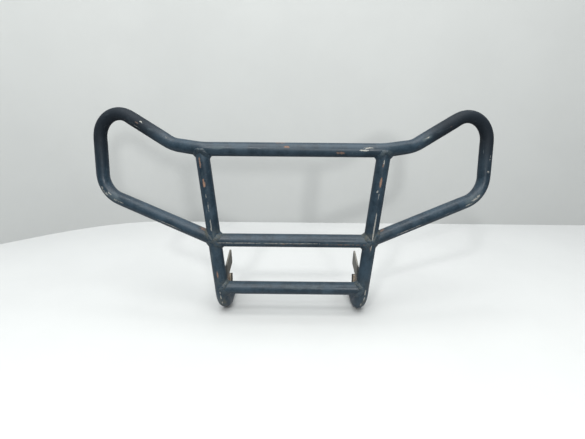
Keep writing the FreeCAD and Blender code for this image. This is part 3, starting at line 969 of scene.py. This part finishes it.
def plate_bead(node, side, inner, leg, seed):
    """Bead along the line where a plate face meets its upright or foot."""
    low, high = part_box(node)
    tube = uprights[side]
    face_x = side * (PLATE_INNER_X if inner else PLATE_OUTER_X)
    if node.endswith("upright_weld"):
        first, last = tube.distance_at_z(high.z), tube.distance_at_z(low.z)
    else:
        last = tube.length - (FOOT_END_Y - high.y)
        first = last - (high.y - low.y)
    count = int((last - first) / BEAD_PITCH * BEAD_SAMPLES)
    outward = np.array([-side if inner else side, 0.0, 0.0])
    line = []
    radials = []
    for distance in np.linspace(first, last, count):
        centre, tangent = tube.at(distance)
        sideways = unit(np.array([1.0, 0, 0]) - tangent * tangent[0])
        hollow = np.cross(tangent, sideways)
        hollow *= np.sign(hollow[1] + hollow[2])
        share = np.clip((face_x - centre[0]) / (TUBE_R * sideways[0]), -1, 1)
        radial = sideways * share + hollow * math.sqrt(1 - share ** 2)
        radials.append(radial)
        line.append(centre + radial * TUBE_R)
    line = np.array(line)
    radials = np.array(radials)
    heading = unit(np.gradient(line, axis=0))
    wall_away = unit(np.cross(heading, outward))
    wall_away *= np.sign((wall_away * radials).sum(1))[:, None]
    run_away = np.cross(radials, heading)
    run_away *= np.sign(run_away @ outward)[:, None]
    ends = np.minimum(np.arange(count), np.arange(count)[::-1]) * (last - first) / count
    taper = np.sqrt(smoothstep(ends / PLATE_BEAD_TAPER) * (1 - PLATE_BEAD_END) + PLATE_BEAD_END)
    wall_normals = np.tile(outward, (count, 1))
    rows = bead_rows(line, wall_normals, radials, wall_away, run_away, leg, taper, seed, False)
    bead_piece(node, rows, False, PLATE_WELD_WEAR)


# ---------------------------------------------------------------- the object

# Bare, rust, rub and film on the tubes round each joint, by the joint's height.
JOINT_WEAR = (
    (RAIL_Z, (0.0, 0.0, 0.10, 0.05)),
    (RAIL_Z - WING_END_DROP, (0.08, 0.20, 0.25, 0.26)),
    (LOWER_BAR_Z, (0.0, 0.05, 0.20, 0.20)),
)
# The same four on the beads themselves.
WELD_WEAR = {
    "rail": (0.04, 0.00, 0.30, 0.15),
    "wing": (0.25, 0.36, 0.35, 0.60),
    "middle_bar": (0.20, 0.16, 0.35, 0.60),
    "lower_bar": (0.10, 0.04, 0.40, 0.45),
}
PLATE_WELD_WEAR = (0.15, 0.35, 0.30, 0.50)
JOINT_LEG = 4.6 * MM
PLATE_LEG = 3.4 * MM
# Seeds of the ripples: each joint bead has its own, and the two on a plate's face share one.
SEED_STEP = 10
PLATE_SEEDS = 50
PLATE_EDGE_WEAR = 0.6 * MM
PLATE_EDGE_ANGLE = 40
PLATE_MERGE = 0.005 * MM


def build_tubes():
    joints = [(upright_point(side, z), strengths) for side, _ in SIDES for z, strengths in JOINT_WEAR]
    tubes = (
        (hoop, uprights[LEFT], uprights[RIGHT]),
        (uprights[LEFT], hoop, None),
        (uprights[RIGHT], hoop, None),
        (middle_bar, uprights[LEFT], uprights[RIGHT]),
        (lower_bar, uprights[LEFT], uprights[RIGHT]),
    )
    for number, (tube, start_run, end_run) in enumerate(tubes, start=1):
        build_tube(tube, start_run, end_run, joints, number)


def build_welds():
    for number, (side, word) in enumerate(SIDES):
        at_start = side == LEFT
        upright = uprights[side]
        welds = (
            ("rail", upright, True, hoop),
            ("wing", hoop, at_start, upright),
            ("middle_bar", middle_bar, at_start, upright),
            ("lower_bar", lower_bar, at_start, upright),
        )
        for order, (kind, branch, at_branch_start, run) in enumerate(welds):
            joint_bead("%s_%s_weld" % (word, kind), branch, at_branch_start, run,
                       JOINT_LEG, SEED_STEP * order + number, WELD_WEAR[kind])
        for offset, face in enumerate(("inner", "outer")):
            for place in ("upright", "foot"):
                plate_bead("%s_plate_%s_%s_weld" % (word, face, place), side, face == "inner",
                           PLATE_LEG, PLATE_SEEDS + SEED_STEP * number + offset)


def finish_plates():
    """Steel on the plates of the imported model, with their sharp edges worn round."""
    for _, word in SIDES:
        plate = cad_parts[word + "_mount_plate"]
        plate.data.materials.clear()
        plate.data.materials.append(plate_steel)
        merged = plate.modifiers.new("merged", "WELD")
        merged.merge_threshold = PLATE_MERGE
        worn_edge = plate.modifiers.new("worn_edge", "BEVEL")
        worn_edge.width = PLATE_EDGE_WEAR
        worn_edge.segments = 2
        worn_edge.limit_method = "ANGLE"
        worn_edge.angle_limit = math.radians(PLATE_EDGE_ANGLE)


# ---------------------------------------------------------------- stage

FLOOR_Z = cad_low.z
FLOOR_REACH = 4.0
FLOOR_COLOR = (0.665, 0.68, 0.665)
WALL_Y = PLANE_Y + 0.63
WALL_FROM_X = -2.5
WALL_TO_X = 4.0
WALL_COLUMNS = 131
WALL_HEIGHT = 3.0
WALL_TURN_X = -0.42
WALL_CURVE = 1.4
WALL_STEEPEST = 1.0
WALL_COLOR = (0.63, 0.65, 0.63)

STAIN_NOISE = (4.0, 5.0, 0.6)
STAIN_STEP = (0.35, 0.70, 0.0, 0.25)
STAIN_SHADE = 0.88
STAGE_GRAIN_NOISE = (160.0, 3.0)
STAGE_ROUGHNESS = 0.62
STAGE_BUMP = 0.05 * MM
# What the stage throws back at the guard, from near its plane and from further off.
BOUNCE_STEP = (0.03, 0.15)
FLOOR_BOUNCE = ((0.48, 0.49, 0.50), (0.12, 0.13, 0.14))
WALL_BOUNCE = ((0.46, 0.48, 0.50), (0.46, 0.48, 0.50))


def stage_material(name, color, bounce):
    """Plain matt surface, only seen from its front, that throws little light back."""
    nodes = Nodes(name)
    place = nodes.object_place()
    stain = nodes.ramp(nodes.noise(place, *STAIN_NOISE), *STAIN_STEP)
    seen_color = nodes.mix(stain, color, tuple(c * STAIN_SHADE for c in color))
    along_y = nodes.add("ShaderNodeSeparateXYZ", {0: place}).outputs["Y"]
    away = nodes.math("ABSOLUTE", nodes.math("SUBTRACT", along_y, PLANE_Y))
    bounced_color = nodes.mix(nodes.ramp(away, *BOUNCE_STEP), *bounce)
    seen = nodes.add("ShaderNodeLightPath").outputs["Is Camera Ray"]
    grain = nodes.noise(place, *STAGE_GRAIN_NOISE)
    material = nodes.finish(
        nodes.mix(seen, bounced_color, seen_color), STAGE_ROUGHNESS, 0.0, grain, STAGE_BUMP)
    surface = nodes.output.inputs["Surface"].links[0].from_socket
    clear = nodes.add("ShaderNodeBsdfTransparent").outputs[0]
    behind = nodes.add("ShaderNodeNewGeometry").outputs["Backfacing"]
    one_way = nodes.add("ShaderNodeMixShader", {0: behind, 1: surface, 2: clear})
    nodes.tree.links.new(one_way.outputs[0], nodes.output.inputs["Surface"])
    return material


def stage_piece(name, vertices, faces, color, bounce):
    mesh = bpy.data.meshes.new(name)
    mesh.from_pydata(vertices, [], faces)
    mesh.shade_smooth()
    mesh.materials.append(stage_material(name, color, bounce))
    piece = bpy.data.objects.new(name, mesh)
    bpy.context.scene.collection.objects.link(piece)


def wall_y(x):
    """Plan of the wall: straight, then curving towards the viewer on the left."""
    past = max(0.0, WALL_TURN_X - x)
    limit = WALL_STEEPEST / (2 * WALL_CURVE)
    if past < limit:
        return WALL_Y - WALL_CURVE * past ** 2
    return WALL_Y - WALL_CURVE * limit ** 2 - WALL_STEEPEST * (past - limit)


def build_floor():
    signs = ((-1, -1), (1, -1), (1, 1), (-1, 1))
    corners = [(x * FLOOR_REACH, y * FLOOR_REACH, FLOOR_Z) for x, y in signs]
    stage_piece("pale_floor", corners, [(0, 1, 2, 3)], FLOOR_COLOR, FLOOR_BOUNCE)


def build_wall():
    across = np.linspace(WALL_FROM_X, WALL_TO_X, WALL_COLUMNS)
    low = [(x, wall_y(x), FLOOR_Z) for x in across]
    high = [(x, wall_y(x), FLOOR_Z + WALL_HEIGHT) for x in across]
    faces = [(i, i + 1, i + 1 + WALL_COLUMNS, i + WALL_COLUMNS) for i in range(WALL_COLUMNS - 1)]
    stage_piece("pale_wall", low + high, faces, WALL_COLOR, WALL_BOUNCE)


# ---------------------------------------------------------------- light and camera

SKY_COLOR = (0.93, 0.96, 1.0, 1)
SKY_STRENGTH = 0.26
# Name, place, aim, width, depth and watts of each lamp.
LAMPS = (
    ("ceiling", (0, -0.55, 2.1), (0, -0.50, 0.0), 2.6, 2.1, 60),
    ("right_window", (0.52, -2.37, 0.78), (0.13, PLANE_Y, RAIL_Z), 0.2, 0.2, 18),
    ("left_window", (-0.52, -2.0, 1.64), (-0.13, PLANE_Y, RAIL_Z), 0.2, 0.2, 18),
)

# The camera's turn in radians, its lens and sensor in millimetres, and its place from the
# middle of the top rail.
CAMERA_YAW = 0.005
CAMERA_PITCH = 0.289
CAMERA_ROLL = 0.008
CAMERA_LENS = 27.08
CAMERA_SENSOR = 36
CAMERA_RIGHT = 4.2 * MM
CAMERA_IN_FRONT = 795.8 * MM
CAMERA_ABOVE = 105.4 * MM


def build_lamp(name, place, aim, width, depth, watts):
    light = bpy.data.lights.new(name, "AREA")
    light.shape = "RECTANGLE"
    light.size = width
    light.size_y = depth
    light.energy = watts
    item = bpy.data.objects.new(name, light)
    item.location = place
    item.rotation_euler = (Vector(aim) - Vector(place)).to_track_quat("-Z", "Y").to_euler()
    bpy.context.scene.collection.objects.link(item)


def build_light():
    world = bpy.data.worlds.new("soft_room")
    world.use_nodes = True
    background = world.node_tree.nodes["Background"]
    background.inputs["Color"].default_value = SKY_COLOR
    background.inputs["Strength"].default_value = SKY_STRENGTH
    bpy.context.scene.world = world
    for lamp in LAMPS:
        build_lamp(*lamp)


def build_camera():
    right = np.array([math.cos(CAMERA_YAW), math.sin(CAMERA_YAW), 0.0])
    ahead = np.array([-math.sin(CAMERA_YAW), math.cos(CAMERA_YAW), 0.0])
    up = np.array([0.0, 0.0, 1.0])
    view = ahead * math.cos(CAMERA_PITCH) - up * math.sin(CAMERA_PITCH)
    top = up * math.cos(CAMERA_PITCH) + ahead * math.sin(CAMERA_PITCH)
    x_axis = right * math.cos(CAMERA_ROLL) + top * math.sin(CAMERA_ROLL)
    y_axis = top * math.cos(CAMERA_ROLL) - right * math.sin(CAMERA_ROLL)
    camera = bpy.data.cameras.new("camera")
    camera.sensor_width = CAMERA_SENSOR
    camera.lens = CAMERA_LENS
    item = bpy.data.objects.new("camera", camera)
    turn = Matrix([x_axis, y_axis, -view]).transposed()
    place = Vector((CAMERA_RIGHT, PLANE_Y - CAMERA_IN_FRONT, RAIL_Z + CAMERA_ABOVE))
    item.matrix_world = Matrix.Translation(place) @ turn.to_4x4()
    bpy.context.scene.collection.objects.link(item)
    bpy.context.scene.camera = item


build_tubes()
build_welds()
finish_plates()
build_floor()
build_wall()
build_light()
build_camera()
bpy.context.scene.view_settings.view_transform = "Standard"
